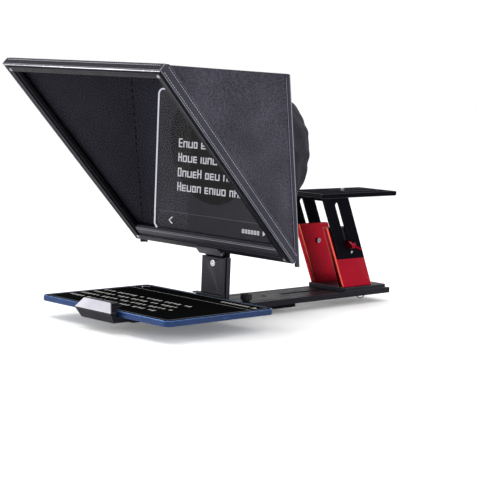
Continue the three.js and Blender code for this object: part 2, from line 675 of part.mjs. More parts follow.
// A clamp bolt from inside the upright out through the slotted plate, with a red wing outside.
function buildClamp(group, suffix, side) {
  const inner = UPRIGHT_INNER - GAP;
  const head = crossHead(side > 0 ? '-x' : 'x', [side * (inner - 2), CLAMP_Y, CLAMP_Z], 2, 4);
  const shaft = bar('x', [side * (inner - 1), CLAMP_Y, CLAMP_Z], side * 25, 3);
  piece(`clamp_bolt_${suffix}`, carve([head, shaft]), steel(), group);

  // Two thin blades flare out along the bolt's own axis.
  const hubX = SLIDER_X + SLIDER_T + GAP;
  const tip = [[3, 5], [6, 16.5], [8.5, 18.5], [15.5, 18.5], [17.5, 16.5], [14.5, 6.5]];
  const blades = prismZ(outline([
    ...tip.map(([along, out]) => [side * (hubX + along), -out]),
    ...tip.map(([along, out]) => [side * (hubX + along), out]).reverse(),
  ]), -1.2, 1.2).rotateX(-0.42);
  blades.translate(0, CLAMP_Y, CLAMP_Z);
  const wheel = carve([
    bar('x', [side * hubX, CLAMP_Y, CLAMP_Z], side * 13.5, 7, 4.8),
    blades,
  ], [
    bar('x', [side * (hubX - 1), CLAMP_Y, CLAMP_Z], side * 10.5, 3.3),
  ]);
  piece(`clamp_wing_${suffix}`, wheel, redAnodised(), group);

  const guideX = side * (SLIDER_X + SLIDER_T + GAP + 1.4);
  const guideY = rakedY(GUIDE_Z) + GUIDE_BEHIND;
  const guide = crossHead(side > 0 ? 'x' : '-x', [guideX, guideY, GUIDE_Z], 1.4, 2.2);
  piece(`guide_screw_${suffix}`, guide, steel(), group);
}

// The lock screw comes up through the rail's slot into the riser plate; its ring folds.
function buildLock(group) {
  const headTop = RAIL_BOTTOM - GAP;
  const screw = carve([
    bar('z', [0, LOCK_Y, headTop - 4.4], 4.4, 8.2),
    bar('z', [0, LOCK_Y, headTop - 1], RISER_TOP - headTop, 3),
  ], [
    bar('x', [-10, LOCK_Y, RING_Z], 20, 1.4),
  ]);
  piece('lock_screw', screw, steel(), group);

  const wire = 1.1;
  const reach = 9.8;
  const section = Array.from({ length: 11 }, (_, i) => {
    const angle = (i / 10) * 2 * Math.PI;
    return new THREE.Vector2(reach + wire * Math.cos(angle), wire * Math.sin(angle));
  });
  section[10].copy(section[0]);
  const hoop = carve([new THREE.LatheGeometry(section, 40)], [slab(-20, 20, -5, 5, 0, 20)]);
  const ring = carve([
    hoop,
    bar('x', [-reach - wire, 0, 0], 2 * (reach + wire), wire, wire, 12),
  ]);
  piece('lock_ring', ring.translate(0, LOCK_Y, RING_Z), steel(), group);
}

// ---- Assembly -----------------------------------------------------------------------------

buildBase(model);
buildPost(model);
buildNeck(model);
buildRailKnob(model);
buildTablet(model);
buildJaw(model);

const frame = new THREE.Group();
frame.position.set(0, 0, FRAME_FOOT_Z);
frame.rotation.x = 0.75 * Math.PI;
model.add(frame);
buildFrame(frame);
buildHingeLeaf(frame);
buildBands(frame);

buildHood(model);
buildSleeve(model);
buildRiserBase(model);
buildCameraPlate(model);
buildLock(model);
for (const [suffix, side] of [['left', -1], ['right', 1]]) {
  buildUpright(model, suffix, side);
  buildSlider(model, suffix, side);
  buildClamp(model, suffix, side);
}

export default model;
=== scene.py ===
"""A beam-splitter teleprompter with its hood, tablet and camera riser, on a pale floor."""
import json
import math

import bmesh
import bpy
import numpy as np
from mathutils import Matrix, Vector, noise


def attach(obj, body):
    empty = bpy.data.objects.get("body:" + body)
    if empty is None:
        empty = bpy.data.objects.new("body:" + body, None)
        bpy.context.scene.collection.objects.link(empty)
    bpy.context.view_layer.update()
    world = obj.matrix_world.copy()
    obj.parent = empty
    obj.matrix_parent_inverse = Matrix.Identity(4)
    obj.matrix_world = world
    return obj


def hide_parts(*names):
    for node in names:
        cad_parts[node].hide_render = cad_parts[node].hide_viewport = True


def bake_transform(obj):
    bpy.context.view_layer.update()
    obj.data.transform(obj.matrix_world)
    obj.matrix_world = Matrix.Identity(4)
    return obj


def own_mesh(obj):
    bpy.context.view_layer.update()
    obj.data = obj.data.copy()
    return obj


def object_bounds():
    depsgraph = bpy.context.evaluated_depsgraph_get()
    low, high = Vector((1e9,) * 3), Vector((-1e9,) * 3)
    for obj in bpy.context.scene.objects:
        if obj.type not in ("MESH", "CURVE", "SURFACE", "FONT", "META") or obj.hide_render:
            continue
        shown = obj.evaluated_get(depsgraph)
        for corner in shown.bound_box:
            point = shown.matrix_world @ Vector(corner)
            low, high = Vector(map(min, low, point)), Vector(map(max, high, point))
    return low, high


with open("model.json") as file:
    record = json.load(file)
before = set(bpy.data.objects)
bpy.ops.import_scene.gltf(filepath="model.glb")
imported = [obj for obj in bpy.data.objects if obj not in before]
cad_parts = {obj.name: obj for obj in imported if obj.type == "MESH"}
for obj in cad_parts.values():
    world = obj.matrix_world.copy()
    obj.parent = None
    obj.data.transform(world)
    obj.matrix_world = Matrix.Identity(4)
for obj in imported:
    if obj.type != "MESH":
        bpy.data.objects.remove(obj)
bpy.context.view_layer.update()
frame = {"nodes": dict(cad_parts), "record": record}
MM = 0.001
LEAN = math.sqrt(0.5)
FRAME_FOOT_Z = 92.0
SLEEVE_Z = 250.0
SHARP = math.radians(32)
SCENE = bpy.context.scene

BODY_OF = {
    node: body
    for body, members in frame["record"]["behaviour"]["bodies"].items()
    for node in members
}

# ---- Node materials ---------------------------------------------------------------------------


def add(tree, kind, inputs=None, **settings):
    """A shader node with its settings, and with its inputs set to values or linked to sockets."""
    node = tree.nodes.new(kind)
    for key, value in settings.items():
        setattr(node, key, value)
    for key, value in (inputs or {}).items():
        if isinstance(value, bpy.types.NodeSocket):
            tree.links.new(value, node.inputs[key])
        else:
            node.inputs[key].default_value = value
    return node


def start(name, rough, metallic=0.0, **sockets):
    material = bpy.data.materials.new(name)
    material.use_nodes = True
    shader = material.node_tree.nodes["Principled BSDF"]
    shader.inputs["Roughness"].default_value = rough
    shader.inputs["Metallic"].default_value = metallic
    for key, value in sockets.items():
        shader.inputs[key.replace("_", " ")].default_value = value
    return material, material.node_tree, shader


def place(tree, scale=(1, 1, 1)):
    coords = add(tree, "ShaderNodeTexCoord").outputs["Object"]
    return add(tree, "ShaderNodeMapping", {"Vector": coords, "Scale": scale}).outputs[0]


def speckle(tree, vector, scale, detail=2.0, roughness=0.5):
    return add(tree, "ShaderNodeTexNoise", {
        "Vector": vector, "Scale": scale, "Detail": detail, "Roughness": roughness,
    }).outputs["Fac"]


def spread(tree, value, low, high, a=0.3, b=0.7):
    return add(tree, "ShaderNodeMapRange", {
        "Value": value, "From Min": a, "From Max": b, "To Min": low, "To Max": high,
    }).outputs[0]


def tone(tree, factor, dark, light):
    return add(tree, "ShaderNodeMix", {"Factor": factor, 6: (*dark, 1), 7: (*light, 1)},
               data_type="RGBA").outputs[2]


def maths(tree, operation, a, b=0.0):
    return add(tree, "ShaderNodeMath", {0: a, 1: b}, operation=operation).outputs[0]


def shade(colour, factor):
    return tuple(min(1.0, c * factor) for c in colour)


def relief(tree, shader, height, strength, depth):
    bump = add(tree, "ShaderNodeBump", {"Height": height, "Strength": strength, "Distance": depth})
    tree.links.new(bump.outputs[0], shader.inputs["Normal"])


def coated(name, colour, rough, metallic, grain=1500.0, bump=0.25, drawn=None, vary=0.16, gloss=0.25):
    """Anodised or moulded: a fine grain, a slow change of tone, faint rubbed patches, drawn lines."""
    material, tree, shader = start(name, rough, metallic, Specular_IOR_Level=gloss)
    vector = place(tree)
    cloud = speckle(tree, vector, 38, 3)
    fine = speckle(tree, vector, grain, 2, 0.6)
    mix = maths(tree, "ADD", maths(tree, "MULTIPLY", cloud, 0.6), maths(tree, "MULTIPLY", fine, 0.4))
    tree.links.new(tone(tree, spread(tree, mix, 0, 1), shade(colour, 1 - vary), shade(colour, 1 + vary)),
                   shader.inputs["Base Color"])
    rubbed = speckle(tree, place(tree, (1, 0.35, 1)), 120, 3, 0.6)
    tree.links.new(spread(tree, rubbed, rough - 0.06, rough + 0.08), shader.inputs["Roughness"])
    height = fine
    if drawn:
        lines = speckle(tree, place(tree, drawn), 1.0, 2, 0.5)
        height = maths(tree, "ADD", fine, lines)
    relief(tree, shader, height, bump, 0.00012)
    return material


def woven(name, colour, across, pitch=0.0011, fleck=0.4, rough=0.92, bump=0.8, ribs=None):
    """Cloth: a plain weave in the two directions given, with flecked yarn and slow fading."""
    material, tree, shader = start(name, rough, Sheen_Weight=0.03, Sheen_Roughness=0.5,
                                   Specular_IOR_Level=0.12)
    vector = place(tree)
    axes = add(tree, "ShaderNodeSeparateXYZ", {0: vector}).outputs
    if across == "round":
        angle = maths(tree, "ARCTAN2", maths(tree, "SUBTRACT", axes[2], SLEEVE_Z * MM), axes[0])
        pair = [maths(tree, "MULTIPLY", angle, 0.085), axes[1]]
    else:
        pair = [axes["XYZ".index(letter)] for letter in across]
    waves = []
    for axis, width in zip(pair, (pitch, ribs or pitch)):
        waves.append(maths(tree, "SINE", maths(tree, "MULTIPLY", axis, 2 * math.pi / width)))
    weave = maths(tree, "MULTIPLY", *waves)
    coarse = maths(tree, "MULTIPLY", speckle(tree, vector, 430, 2, 0.6), 0.6)
    yarn = maths(tree, "ADD", coarse, maths(tree, "MULTIPLY", speckle(tree, vector, 950, 2, 0.6), 0.4))
    faded = speckle(tree, vector, 14, 3)
    mix = maths(tree, "ADD", maths(tree, "MULTIPLY", weave, 0.09), yarn)
    mix = maths(tree, "ADD", mix, maths(tree, "MULTIPLY", maths(tree, "SUBTRACT", faded, 0.5), 0.35))
    tree.links.new(tone(tree, spread(tree, mix, 0, 1, 0.34, 0.68), shade(colour, 1 - fleck),
                        shade(colour, 1 + fleck)), shader.inputs["Base Color"])
    relief(tree, shader, maths(tree, "ADD", maths(tree, "MULTIPLY", weave, 0.5), yarn), bump, 0.0003)
    return material


def lit(name, colour, strength):
    """Glowing marks, slightly uneven: the display's lit pixels, and also the painted reflection in the
    glass and the painted highlight of the screen's rim, which glow though they are no lamp.
    """
    material, tree, shader = start(name, 0.25, Specular_IOR_Level=0.0)
    shader.inputs["Base Color"].default_value = (0.002, 0.002, 0.002, 1)
    glow = spread(tree, speckle(tree, place(tree), 90), 0.94, 1.0)
    tree.links.new(tone(tree, glow, (0, 0, 0), colour), shader.inputs["Emission Color"])
    shader.inputs["Emission Strength"].default_value = strength
    return material


# The glass mirrors only this small share; the tablet's reflection is painted instead, as glowing marks
# behind the glass.
MIRRORED = 0.005


def half_mirror(name):
    """Coated glass: it lets most light straight through, a little tinted, and mirrors a small share."""
    material = bpy.data.materials.new(name)
    material.use_nodes = True
    tree = material.node_tree
    tree.nodes.remove(tree.nodes["Principled BSDF"])
    tint = tone(tree, spread(tree, speckle(tree, place(tree), 6), 0, 1),
                (0.66, 0.66, 0.70), (0.70, 0.70, 0.73))
    clear = add(tree, "ShaderNodeBsdfTransparent", {"Color": tint})
    mirror = add(tree, "ShaderNodeBsdfGlossy", {"Color": (0.9, 0.92, 1, 1), "Roughness": 0.02})
    both = add(tree, "ShaderNodeMixShader", {0: MIRRORED, 1: clear.outputs[0], 2: mirror.outputs[0]})
    tree.links.new(both.outputs[0], tree.nodes["Material Output"].inputs["Surface"])
    return material


def veil(name, glow):
    """A faint glow laid over what is behind it: the painted reflection of the tablet's page."""
    material = bpy.data.materials.new(name)
    material.use_nodes = True
    tree = material.node_tree
    tree.nodes.remove(tree.nodes["Principled BSDF"])
    uneven = spread(tree, speckle(tree, place(tree), 9), 0.8, 1.0)
    light = add(tree, "ShaderNodeEmission",
                {"Color": tone(tree, uneven, (0, 0, 0), glow), "Strength": 1.0})
    clear = add(tree, "ShaderNodeBsdfTransparent", {"Color": (0.85, 0.85, 0.85, 1)})
    both = add(tree, "ShaderNodeAddShader", {0: clear.outputs[0], 1: light.outputs[0]})
    tree.links.new(both.outputs[0], tree.nodes["Material Output"].inputs["Surface"])
    return material


BLACK = (0.0040, 0.0040, 0.0060)
RED = (0.27, 0.0005, 0.011)
BLUE = (0.013, 0.032, 0.098)
CLOTH = (0.040, 0.038, 0.052)

M = {
    # Materials named for edges or highlights are lighter copies laid on rounded edges and lines: painted
    # highlights.
    "rail": coated("rail_anodised", (0.010, 0.010, 0.014), 0.42, 0.1, drawn=(1800, 6, 1800), gloss=0.05),
    "rail_highlight": coated("rail_highlight", (0.045, 0.045, 0.055), 0.34, 0.4),
    "black": coated("black_anodised", BLACK, 0.40, 0.05, gloss=0.0),
    "lip": coated("leaf_anodised", (0.075, 0.075, 0.085), 0.42, 0.1),
    "sill": coated("sill_plastic", (0.030, 0.030, 0.037), 0.44, 0.0, 1100, 0.4, gloss=0.12),
    "sill_highlight": coated("sill_highlight", (0.17, 0.17, 0.19), 0.36, 0.1, 1100, 0.3),
    "black_highlight": coated("black_highlight", (0.024, 0.024, 0.030), 0.32, 0.3),
    "post": coated("post_anodised", (0.015, 0.014, 0.020), 0.38, 0.1, drawn=(1800, 1800, 8), gloss=0.15),
    "red": coated("red_anodised", RED, 0.36, 1.0, drawn=(1800, 1800, 8)),
    # A light orange-red copy of the red: a painted highlight on bends and edges.
    "red_highlight": coated("red_highlight", (0.74, 0.11, 0.07), 0.28, 0.9),
    "wing": coated("wing_anodised", (0.22, 0.001, 0.012), 0.30, 1.0),
    "plastic": coated("black_plastic", (0.006, 0.006, 0.009), 0.46, 0.0, 1100, 0.5, gloss=0.12),
    "plastic_highlight": coated("plastic_highlight", (0.03, 0.03, 0.038), 0.4, 0.0, 1100, 0.4),
    "grey": coated("grey_plastic", (0.40, 0.39, 0.44), 0.42, 0.05, 900, 0.5),
    "grey_highlight": coated("grey_highlight", (0.52, 0.51, 0.56), 0.36, 0.05, 900, 0.4),
    "rubber": coated("rubber", (0.014, 0.014, 0.015), 0.80, 0.0, 700, 0.8),
    "steel": coated("steel", (0.30, 0.30, 0.32), 0.30, 1.0, 1500, 0.15, vary=0.08),
    # Near-white: a painted highlight and glints on screw edges and along the top rail's chamfer.
    "bright_highlight": coated("bright_trim", (0.80, 0.80, 0.84), 0.22, 0.6, 1500, 0.1, vary=0.05),
    "blue": coated("blue_aluminium", BLUE, 0.34, 0.6),
    # A light blue copy of the tablet's blue: a painted highlight on its edges.
    "blue_highlight": coated("blue_highlight", (0.10, 0.19, 0.42), 0.26, 0.6),
    "screen": coated("screen_glass", (0.002, 0.002, 0.003), 0.10, 0.02, 900, 0.02, gloss=0.0),
    "page": lit("display_page", (0.20, 0.21, 0.22), 0.01),
    "text": lit("display_text", (1.0, 0.98, 0.95), 0.42),
    # The screen's rim glows though it is no lamp: a painted highlight.
    "rim": lit("display_rim_highlight", (0.80, 0.88, 1.0), 0.12),
    # Glowing marks and sheet of the painted reflection in the glass.
    "image": lit("image_words", (1.0, 1.0, 0.98), 1.25),
    "image_line": lit("image_lines", (0.97, 0.98, 1.0), 1.5),
    "image_faint": lit("image_faint", (0.90, 0.90, 0.86), 0.22),
    "image_page": veil("image_page", (0.028, 0.027, 0.024)),
    "glass": half_mirror("beam_splitter"),
    "cloth_side": woven("hood_cloth_side", CLOTH, "YZ", fleck=0.7),
    "cloth_roof": woven("hood_cloth_roof", CLOTH, "XY", fleck=0.7),
    "cloth_back": woven("hood_cloth_back", CLOTH, "XZ", fleck=0.7),
    "cloth_sleeve": woven("sleeve_cloth", shade(CLOTH, 0.6), "round", pitch=0.0009, fleck=0.5),
    "lining": coated("hood_lining", (0.105, 0.104, 0.122), 0.9, 0.0, 1200, 0.02, vary=0.06, gloss=0.02),
    "band_side": woven("webbing_side", (0.036, 0.035, 0.048), "YZ", pitch=0.0016, fleck=0.25),
    # Drawn about a third as light as the side webbing: painted shade on the roof band.
    "band_roof_shaded": woven("webbing_roof_painted_shade", (0.012, 0.0115, 0.015), "XY", pitch=0.0022, fleck=0.3, bump=1.0),
    "hem": woven("hem_elastic", (0.024, 0.024, 0.030), "round", pitch=0.0030, ribs=0.0012),
    "binding": woven("binding_tape", (0.032, 0.032, 0.046), "XZ", pitch=0.0010, fleck=0.25),
    "thread": woven("thread", (0.38, 0.38, 0.43), "YZ", pitch=0.0006, fleck=0.2, rough=0.7),
    "piping": woven("piping", (0.24, 0.24, 0.28), "XZ", pitch=0.0008, fleck=0.2, rough=0.75),
}

# ---- Mesh helpers -----------------------------------------------------------------------------


def mm(*point):
    return Vector(point) * MM


def slope(x, up, back):
    """A point on the leaning glass frame: across, up the slope from its foot, and behind its face."""
    return mm(x, (back - up) * LEAN, FRAME_FOOT_Z + (up + back) * LEAN)


def make(name, points, faces, *materials):
    mesh = bpy.data.meshes.new(name)
    mesh.from_pydata([tuple(p) for p in points], [], faces)
    mesh.validate()
    bm = bmesh.new()
    bm.from_mesh(mesh)
    bmesh.ops.recalc_face_normals(bm, faces=bm.faces)
    bm.to_mesh(mesh)
    bm.free()
    for material in materials:
        mesh.materials.append(M[material])
    mesh.shade_smooth()
    obj = bpy.data.objects.new(name, mesh)
    SCENE.collection.objects.link(obj)
    return obj


def settle(obj):
    """Applies the piece's modifiers to its mesh."""
    bpy.context.view_layer.update()
    deps = bpy.context.evaluated_depsgraph_get()
    mesh = bpy.data.meshes.new_from_object(obj.evaluated_get(deps))
    obj.modifiers.clear()
    obj.data = mesh
    return obj


def refine(node, look, edge, width=0.5):
    """A node's own shape with its edges rounded and given the edge material, in place of the sharp CAD
    solid; where that material is a lighter colour it paints a highlight along the edges.
    """
    bm = bmesh.new()
    bm.from_mesh(frame["nodes"][node].data)
    bmesh.ops.remove_doubles(bm, verts=bm.verts, dist=2e-6)
    bmesh.ops.dissolve_limit(bm, angle_limit=math.radians(0.6), verts=bm.verts, edges=bm.edges)
    mesh = bpy.data.meshes.new(f"{node}_finished")
    bm.to_mesh(mesh)
    bm.free()
    mesh.materials.append(M[look])
    mesh.materials.append(M[edge])
    mesh.shade_smooth()
    mesh.set_sharp_from_angle(angle=SHARP)
    obj = bpy.data.objects.new(mesh.name, mesh)
    SCENE.collection.objects.link(obj)
    if width:
        bevel = obj.modifiers.new("edges", "BEVEL")
        bevel.width = width * MM
        bevel.segments = 2
        bevel.limit_method = "ANGLE"
        bevel.angle_limit = SHARP
        bevel.use_clamp_overlap = True
        bevel.harden_normals = True
        # The rounded edges take the edge material; a lighter one is a painted highlight.
        bevel.material = 1
        settle(obj)
    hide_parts(node)
    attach(obj, BODY_OF[node])
    return obj


def grid(rows, columns, close=False):
    """Quads over a grid of points kept row by row; close joins the last column to the first."""
    faces = []
    for i in range(rows - 1):
        for j in range(columns if close else columns - 1):
            k = (j + 1) % columns
            here, above = i * columns, (i + 1) * columns
            faces.append((here + j, here + k, above + k, above + j))
    return faces


def thicken(obj, thickness, offset=0.0):
    solid = obj.modifiers.new("cloth", "SOLIDIFY")
    solid.thickness = thickness * MM
    solid.offset = offset
    return settle(obj)


def tube(name, path, radius, look, closed=False, sides=8):
    """A round cord sewn along a path of points in millimetres."""
    path = [Vector(p) for p in path]
    count = len(path)
    points = []
    for i, here in enumerate(path):
        if closed:
            along = path[(i + 1) % count] - path[i - 1]
        else:
            along = path[min(i + 1, count - 1)] - path[max(i - 1, 0)]
        side = along.normalized().orthogonal().normalized()
        if abs(along.normalized().x) < 0.9:
            side = along.cross(Vector((1, 0, 0))).normalized()
        other = along.normalized().cross(side)
        for k in range(sides):
            a = 2 * math.pi * k / sides
            points.append((here + radius * (math.cos(a) * side + math.sin(a) * other)) * MM)
    faces = []
    for i in range(count if closed else count - 1):
        n = (i + 1) % count
        for k in range(sides):
            m = (k + 1) % sides
            faces.append((i * sides + k, i * sides + m, n * sides + m, n * sides + k))
    if not closed:
        faces.append(tuple(range(sides)))
        faces.append(tuple(range((count - 1) * sides, count * sides)))
    return make(name, points, faces, look)


def stitches(name, path, normal, look="thread", pitch=4.2, length=3.2, width=0.5):
    """A row of single stitches along a path in millimetres, each a small pill sunk at its ends."""
    path = [Vector(p) for p in path]
    spans = [(b - a).length for a, b in zip(path, path[1:])]
    total = sum(spans)
    points, faces = [], []
    at = pitch / 2
    index, gone = 0, 0.0
    while at < total - pitch / 2:
        while gone + spans[index] < at:
            gone += spans[index]
            index += 1
        along = (path[index + 1] - path[index]).normalized()
        centre = path[index] + along * (at - gone)
        out = Vector(normal(centre) if callable(normal) else normal).normalized()
        side = along.cross(out).normalized()
        base = len(points)
        for t, w in ((-0.5, 0.35), (-0.28, 0.9), (0.28, 0.9), (0.5, 0.35)):
            rise = 0.25 if abs(t) < 0.4 else -0.1
            for k in range(6):
                a = 2 * math.pi * k / 6
                offset = side * math.cos(a) * width * w + out * (math.sin(a) * width * w + rise)
                points.append((centre + along * t * length + offset) * MM)
        for ring in range(3):
            for k in range(6):
                m = (k + 1) % 6
                a, b = base + ring * 6, base + ring * 6 + 6
                faces.append((a + k, a + m, b + m, b + k))
        faces.append(tuple(range(base, base + 6)))
        faces.append(tuple(range(base + 18, base + 24)))
        at += pitch
    return make(name, points, faces, look)


def lerp(a, b, t):
    return a + (b - a) * t


def ride(obj, body):
    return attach(obj, body)


# ---- Hard parts -------------------------------------------------------------------------------

refine("base_rail", "rail", "rail_highlight", 0.5)
refine("mounting_plate", "black", "black_highlight", 0.5)
refine("post", "post", "rail_highlight", 0.4)
refine("neck_bracket", "black", "black_highlight", 0.35)
refine("hinge_leaf", "lip", "rail_highlight", 0.4)
refine("riser_plate", "rail", "rail_highlight", 0.6)
refine("camera_plate", "black", "black_highlight", 0.6)
for hand in ("left", "right"):
    refine(f"rail_pad_{hand}", "rubber", "rubber", 0.1)
    upright = refine(f"upright_{hand}", "red", "red_highlight", 0.35)
    # The upright's rounded bends take the light orange-red edge material: a painted highlight.
    for face in upright.data.polygons:
        if min(abs(face.normal.x), abs(face.normal.y)) > 0.25:
            face.material_index = 1
    refine(f"friction_shim_{hand}", "plastic", "plastic", 0.1)
    refine(f"slider_{hand}", "black", "black_highlight", 0.4)
    refine(f"clamp_bolt_{hand}", "steel", "steel", 0.15)
    refine(f"clamp_wing_{hand}", "wing", "red_highlight", 0.4)
    refine(f"guide_screw_{hand}", "steel", "bright_highlight", 0.1)
    refine(f"frame_{hand}", "plastic", "plastic_highlight", 0.5)
    refine(f"frame_screw_bottom_{hand}", "steel", "bright_highlight", 0.12)
    refine(f"frame_screw_top_{hand}", "steel", "bright_highlight", 0.12)
refine("frame_top", "plastic", "plastic_highlight", 0.5)
refine("frame_bottom", "plastic", "plastic_highlight", 0.5)
refine("frame_sill", "sill", "sill_highlight", 0.35)
refine("glass_gasket", "rubber", "rubber", 0.15)
refine("beam_splitter_glass", "glass", "glass", 0.0)
refine("rear_jaw", "plastic", "plastic_highlight", 0.5)
refine("jaw_arm", "plastic", "plastic_highlight", 0.6)
refine("jaw_face", "grey", "grey_highlight", 0.5)
refine("jaw_liner", "rubber", "rubber", 0.2)
refine("post_bolt", "steel", "bright_highlight", 0.25)
refine("post_knob", "red", "red_highlight", 0.6)
refine("tilt_pin", "steel", "bright_highlight", 0.3)
refine("rail_knob", "plastic", "plastic_highlight", 0.2)
refine("camera_screw", "steel", "bright_highlight", 0.25)
refine("lock_screw", "steel", "bright_highlight", 0.2)
refine("lock_ring", "steel", "bright_highlight", 0.2)
refine("tablet_case", "blue", "blue_highlight", 0.35)
refine("tablet_key", "blue", "blue_highlight", 0.3)
refine("tablet_screen", "screen", "screen", 0.15)

# The near-white line along the top rail's moulding is a painted highlight: a tube laid on the chamfer.
line = [slope(x, 380.8, 1.6) / MM for x in (-168.2, -60, 60, 168.2)]
ride(tube("frame_top_painted_highlight", line, 0.75, "bright_highlight", sides=12), "glass_frame")

# ---- The picture on the tablet ----------------------------------------------------------------

SCREEN_TOP = 23.7
TABLET_HALF, TABLET_FRONT, TABLET_REAR = 140.5, -213.0, 1.5
PAGE_HALF = 132.6
PAGE = (-PAGE_HALF, PAGE_HALF, -205.2, -6.4)
WORDS_LEFT = -128.0


def corners(x0, x1, y0, y1, r):
    """The centres of a rounded rectangle's corners, each with the quarter turn its arc starts at."""
    return (x1 - r, y1 - r, 0), (x0 + r, y1 - r, 1), (x0 + r, y0 + r, 2), (x1 - r, y0 + r, 3)


def flat_blocks(name, blocks, spot, thick, look, corner=0.8):
    """Thin rounded blocks, each from x0 to x1 and y0 to y1, on the surface that spot gives."""
    steps = 4
    around = 4 * (steps + 1)
    points, faces = [], []
    for x0, x1, y0, y1 in blocks:
        r = min(corner, (x1 - x0) / 2.2, (y1 - y0) / 2.2)
        base = len(points)
        for lift in (0, thick):
            for cx, cy, turn in corners(x0, x1, y0, y1, r):
                for k in range(steps + 1):
                    a = (turn + k / steps) * math.pi / 2
                    points.append(spot(cx + r * math.cos(a), cy + r * math.sin(a), lift) * MM)
        over = base + around
        faces += [tuple(range(base, over)), tuple(range(over + around - 1, over - 1, -1))]
        for k in range(around):
            n = (k + 1) % around
            faces.append((base + k, base + n, over + n, over + k))
    return make(name, points, faces, look)


def word_blocks():
    """Words shown as rows of plain letter-sized blocks, each digit a letter's size."""
    space, gap, tall_letter, low_letter = 6.5, 3.7, 8.0, 6.0
    rows = [(-166, "3426 21 54631 346 216 32"), (-143, "66453 4231 52 6341 2435 1"),
            (-120, "546343 321 4652 31 5243"), (-97, "635 46532 1 5324 6412 34")]
    blocks = []
    for y, words in rows:
        x = WORDS_LEFT
        for size in words:
            if size == " ":
                x += space
                continue
            tall = tall_letter if int(size) % 2 == 0 else low_letter
            width = 4.0 + 0.9 * (int(size) % 3)
            blocks.append((x, x + width, y + 4 - tall, y + 4))
            x += width + gap
    return blocks


def on_screen(x, y, lift):
    return Vector((x, y, SCREEN_TOP + lift))


ride(flat_blocks("display_page", [PAGE], on_screen, 0.03, "page", 6), "tablet")
marks = word_blocks()
marks.append((-PAGE_HALF, PAGE_HALF, -41.4, -40.6))
for step in range(6):
    x, rise = WORDS_LEFT + step * 1.5, step * 1.6
    marks.append((x, x + 2.4, -22.5 - rise, -20.9 - rise))
    marks.append((x, x + 2.4, -22.5 + rise, -20.9 + rise))
for step in range(8):
    marks.append((52 + step * 7.4, 56.6 + step * 7.4, -26, -19))
for step in range(7):
    marks.append((117 + step * 1.2, 118.3 + step * 1.2, -29 + step * 0.9, -17 - step * 0.9))
ride(flat_blocks("display_marks", marks, on_screen, 0.06, "text", 0.5), "tablet")


def rim_path(inset, height, r):
    """A rounded rectangle at a height, inset from the tablet's outline."""
    side = TABLET_HALF - inset
    path = []
    for cx, cy, turn in corners(-side, side, TABLET_FRONT + inset, TABLET_REAR - inset, r):
        for k in range(7):
            a = (turn + k / 6) * math.pi / 2
            path.append((cx + r * math.cos(a), cy + r * math.sin(a), height))
    return path


# A light blue tube along the tablet's top edge: a painted highlight of its chamfer.
ride(tube("tablet_chamfer_highlight", rim_path(1.3, 23.35, 9.7), 0.55, "blue_highlight", closed=True, sides=6),
     "tablet")
# A faintly glowing ring round the screen: a painted highlight of the chamfer.
ride(tube("display_border_glow", rim_path(7.9, SCREEN_TOP, 6), 0.6, "rim", closed=True, sides=6),
     "tablet")

# ---- The painted reflection in the glass ------------------------------------------------------
# The tablet's reflection is painted: the mirrored page stands upright behind the glass as glowing marks,
# where the presenter reads it. Its lowest marks stand a little further back, to stay behind the leaning
# glass.

IMAGE_Y = -26.0
IMAGE_LOW_Y = -9.0
IMAGE_FOOT = 142.0
IMAGE_LEFT, IMAGE_RIGHT, IMAGE_TOP = -99.9, 148.0, 335.0
IMAGE_WORDS_LEFT = -50.3
IMAGE_LINE = 1.2
IMAGE_THICK = 0.6
IMAGE_BEND = 9.0
PAGE_Y, PAGE_LOW_Y = -24.5, -7.5
PAGE_THICK = 0.4


def image_point(across, height, lift=0.0):
    return Vector((across, IMAGE_Y - lift, height))


def low_point(across, height, lift=0.0):
    return Vector((across, IMAGE_LOW_Y - lift, height))


def glyph(kind, x, base, wide, tall, stroke):
    """One made-up letter of straight strokes."""
    left = (x, x + stroke, base, base + tall)
    right = (x + wide - stroke, x + wide, base, base + tall)
    top = (x, x + wide, base + tall - stroke, base + tall)
    foot = (x, x + wide, base, base + stroke)
    waist = (x, x + wide, base + tall * 0.5 - stroke / 2, base + tall * 0.5 + stroke / 2)
    return {"n": [left, right, top], "u": [left, right, foot], "o": [left, right, top, foot],
            "e": [left, top, waist, foot], "i": [left], "h": [left, right, waist]}[kind]


def image_words():
    """Four rows of made-up words that spell nothing, as upright strokes."""
    rows = [(248.2, "Enuo eno ihun enu"), (226.4, "Houe iuno heun oe"),
            (203.6, "Onueh oeu nihe uo"), (181.9, "Heuon eniuo nhe u")]
    space, gap, tall_letter, low_letter, stroke = 6.0, 2.5, 13.4, 9.8, 1.8
    strokes = []
    for base, words in rows:
        x = IMAGE_WORDS_LEFT
        for number, letter in enumerate(words):
            if letter == " ":
                x += space
                continue
            tall = tall_letter if letter.isupper() or letter == "h" else low_letter
            wide = 2.4 if letter == "i" else 7.6 + 0.9 * (number % 3)
            strokes += glyph(letter.lower(), x, base, wide, tall, stroke)
            x += wide + gap
    return strokes


def show_image(obj):
    """The painted reflection goes with the glass."""
    ride(obj, "glass_frame")
    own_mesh(obj)


